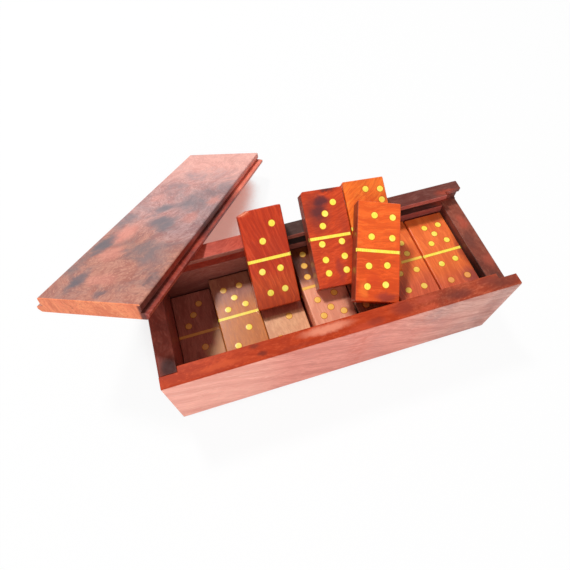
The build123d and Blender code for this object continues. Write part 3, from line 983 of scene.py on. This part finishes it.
def inlay_wood(name, dull=(), stain_and_shade=0.9):
    """Pale yellow wood with a fine grain. Inside the dull zone it is tinted tan: a glue stain on some
    tiles, painted shade on others.
    """
    material, tree, shader = material_with_nodes(name)
    place = add_node(tree, "ShaderNodeAttribute", attribute_name="place").outputs["Vector"]
    glue = add_node(tree, "ShaderNodeAttribute", attribute_name="glue").outputs["Fac"]
    drawn = vector_maths(tree, "MULTIPLY", place, (1, 0.2, 1))
    streaks = noise(tree, drawn, INLAY_STREAKS, 3.0, 0.6)[0]
    tone = noise(tree, place, INLAY_TONES, 1.0)[0]
    color = blend(tree, step(tree, streaks, 0.35, 0.7), YELLOW, PALE_YELLOW)
    color = blend(tree, step(tree, tone, 0.45, 0.7, 0.0, 0.5), color, PALEST_YELLOW)
    if dull:
        stained_and_shaded = maths(tree, "MULTIPLY", zone_of(tree, place, dull), stain_and_shade)
        color = blend(tree, stained_and_shaded, color, STAIN_AND_SHADE_TAN)
    color = blend(tree, step(tree, glue, 0.0, 0.5), color, GLUE_AMBER)
    color = blend(tree, step(tree, glue, 0.4, 1.0), color, GLUE_BROWN)
    polish(tree, shader, color, step(tree, streaks, 0.3, 0.7, 0.30, 0.42), streaks, relief=0.2,
           depth=0.08 * MM, gloss=GLOSS, coat=0.06)
    return material


yellow = inlay_wood("yellow_inlay")
# A zone that takes in the whole of an inlay, since all of it lies above its tile's middle.
EVERYWHERE = [("z", -9, -6)]
# On the near pips of the five-four and on the six-four the tan is a glue stain; on the other tiles here
# it is painted shade.
INLAY_WOODS = {
    "3_2": inlay_wood("dull_inlay", EVERYWHERE),
    "5_2": inlay_wood("dull_behind_inlay", [("y", 12, 19)], 0.6),
    "1_2": inlay_wood("tan_inlay", EVERYWHERE, 0.6),
    "6_5": inlay_wood("dull_front_inlay", EVERYWHERE, 0.6),
    "6_4": inlay_wood("dull_right_inlay", EVERYWHERE, 0.35),
    "5_5": inlay_wood("shaded_inlay", EVERYWHERE, 1.0),
    "5_4": inlay_wood("dull_near_inlay", [("y", -12, -18)]),
}
print("inlay woods:", 1 + len(INLAY_WOODS))

# %% [markdown]
# ## Wood for each tile
#
# No two tiles are cut from the same place, so the visible ones get colours of their own, from
# deep red-brown to bright orange, and their own grain direction. The others share one mixed
# brown, each with its own seed. Where a tile is darker or duller in part, zones and marks tint it,
# measured from its middle as on the box. Some of this is painted light: the pale beige and salmon
# fronts hold a painted sheen, some darker zones and marks are painted shade and shadows, and a few
# pale marks are painted highlights.

# %% Tile colours
# Beige, pale beige and salmon are partly a painted sheen; dark side, dark brown and red behind are
# painted shade.
DEEP_RED = tones(202, 62, 24, 0.9)
REDDER = tones(210, 72, 30, 0.9)
ORANGE = tones(254, 122, 42, 0.9)
BRIGHT_RED = tones(249, 105, 37, 0.8)
SOFT_ORANGE = tones(248, 120, 56, 0.6)
DULL_RED = tones(226, 104, 66, 0.8)
BEIGE_WITH_PAINTED_SHEEN = tones(204, 119, 50, 0.5)
PALE_BEIGE_WITH_PAINTED_SHEEN = tones(232, 172, 128, 0.5)
SALMON_WITH_PAINTED_SHEEN = tones(246, 164, 130, 0.5)
BROWN = tones(172, 82, 62, 0.8)
PAINTED_SHADE_BROWN = tones(112, 51, 26, 0.8)
PAINTED_SHADE_SIDE = tones(148, 62, 40, 0.8)
BLACK_BROWN = tones(194, 112, 94, 0.7)
BROWN_BEHIND = tones(166, 100, 74, 0.8)
RED_BROWN = tones(206, 78, 28, 0.9)
LOWER_RED = tones(232, 88, 30, 0.8)
PAINTED_SHADOW_RED = tones(192, 114, 88, 0.6)
LEFT_SIDE = [("x", -11.8, -12.3)]
print("the reddest and the palest wood:", [
    [round(v, 2) for v in wood_tones["Middle"]] for wood_tones in (DEEP_RED, PALE_BEIGE_WITH_PAINTED_SHEEN)])

# %% Woods of the tiles
TILE_WOODS = {
    # The pale mark at its knocked corner is a painted highlight.
    "2_4": wood("tile_2_4_wood", DEEP_RED, [([("y", -4, -14)], RED_BROWN)], seed=11, clouds=0.2,
                fine=3.2, turn=-8, stretch=0.045, lines=0.5, swirl=0.4,
                marks=[(-9.6, 27.3, 4.2, 1.8, (238, 130, 84), 0.8), (4, 5, 5, 8, (164, 50, 24), 0.4)]),
    # Its left side face holds painted shade.
    "3_6": wood("tile_3_6_wood", REDDER, [(LEFT_SIDE, PAINTED_SHADE_SIDE)], seed=12, clouds=0.3, fine=1.8,
                turn=80, stretch=0.1, swirl=0.6, lines=0.5, ragged=7,
                marks=[(-5, 15, 9, 14, (126, 45, 34), 0.7), (-1, 20.8, 5.8, 4.2, (52, 31, 44), 0.75),
                       (-4.4, 15.2, 5.2, 4.6, (68, 34, 40), 0.7), (3, 28, 6, 1.6, (70, 36, 34), 0.8),
                       (2.5, -19, 3, 8, (142, 48, 42), 0.6), (9, -2, 5, 18, (160, 54, 32), 0.6)]),
    "6_6": wood("tile_6_6_wood", ORANGE, seed=13, clouds=0.2, fine=2.0, turn=45, lines=0.6),
    # Its left side face holds painted shade.
    "4_4": wood("tile_4_4_wood", BRIGHT_RED, [([("y", 6, -8)], LOWER_RED), (LEFT_SIDE, PAINTED_SHADE_SIDE)],
                seed=14, clouds=0.2, fine=2.0, turn=86, stretch=0.07, swirl=0.6, lines=0.6,
                marks=[(-2, -17, 6, 5, (206, 66, 26), 0.6), (5, -25, 7, 3.4, (150, 52, 44), 0.7),
                       (-8, -22, 3, 6, (255, 132, 50), 0.5), (12, 0, 2.6, 26, (224, 80, 30), 0.6)]),
    # Its salmon front is partly a painted sheen. Its back half holds painted shade, and the mark on its
    # right edge is a painted shadow.
    "6_5": wood("tile_6_5_wood", SALMON_WITH_PAINTED_SHEEN, [([("y", -2, 8)], PAINTED_SHADE_BROWN)], seed=15, clouds=0.2,
                fine=1.4, marks=[(13, -20, 7, 16, (118, 54, 38), 1.0)]),
    # The mark near its back is painted shade.
    "6_4": wood("tile_6_4_wood", SOFT_ORANGE, [([("y", 0, -20)], DULL_RED)], seed=16, clouds=0.2,
                fine=1.5, lines=0.4, marks=[(1, 10, 7, 5, (206, 82, 52), 0.6)]),
    # Its two marks are painted shade along its right edge, darkest at the near corner.
    "5_4": wood("tile_5_4_wood", SOFT_ORANGE, [([("y", -8, -24)], DULL_RED)], seed=17, clouds=0.2,
                fine=1.5, lines=0.4,
                marks=[(9, -20, 7, 7, (140, 60, 60), 0.7), (12, -2, 3.4, 15, (168, 70, 46), 0.8)]),
    "5_5": wood("tile_5_5_wood", BROWN_BEHIND, seed=18, clouds=0.2, fine=1.5),
    # Its pale beige front is partly a painted sheen.
    "5_2": wood("tile_5_2_wood", BEIGE_WITH_PAINTED_SHEEN, [([("y", 4, 16)], BROWN_BEHIND)], seed=19, clouds=0.2, fine=1.4,
                stretch=0.2, marks=[(0, -24, 12, 3, (196, 108, 72), 0.6)]),
    # Its pale front is partly a painted sheen, and its back, under the leaning two-four, holds a
    # painted shadow.
    "1_2": wood("tile_1_2_wood", PALE_BEIGE_WITH_PAINTED_SHEEN, [([("y", -8, -6)], PAINTED_SHADOW_RED)], seed=20, clouds=0.1,
                eyes=0.2, fine=1.6, stretch=0.25, lines=0.25,
                marks=[(-8, -22.5, 1.6, 1.4, (104, 66, 48), 0.8)]),
    # The two pale marks at its near right are a painted highlight.
    "3_2": wood("tile_3_2_wood", BLACK_BROWN, seed=21, clouds=0.2, fine=1.5, stretch=0.2, shine=0.06,
                marks=[(12, -6, 6, 13, (226, 170, 124), 0.9), (7, -13, 7, 5, (222, 166, 118), 0.85)]),
}
print(len(TILE_WOODS), "tiles have a wood of their own")

# %% Place the tiles and their inlays
SHARED_BROWN_SEED = 30

for count, node in enumerate(sorted(n for n in nodes if n.startswith("tile_"))):
    numbers = node[len("tile_"):]
    axes = own_axes(node)
    low, high = extent(node, axes)
    middle = axes @ ((low + high) / 2)
    body = tile_body(high - low, Random(count), KNOCKED.get(numbers))
    bmesh.ops.transform(body, matrix=Matrix.Translation(middle) @ axes.to_4x4(), verts=body.verts)
    if numbers not in TILE_WOODS:
        TILE_WOODS[numbers] = wood(f"tile_{numbers}_wood", BROWN, seed=SHARED_BROWN_SEED + count)
    add_piece("block_" + numbers, body, axes, middle, node, TILE_WOODS[numbers])
    inlays = "inlays_" + numbers
    if inlays in nodes:
        add_piece("pips_" + numbers, inlays_of(inlays, axes), axes, middle, inlays,
                  INLAY_WOODS.get(numbers, yellow))
shut_in = "inlays_shut_in"
add_piece("pips_shut_in", inlays_of(shut_in, GRAIN_ALONG_Y), GRAIN_ALONG_Y, Vector(), shut_in,
          yellow)
print(len(TILE_WOODS), "tiles")
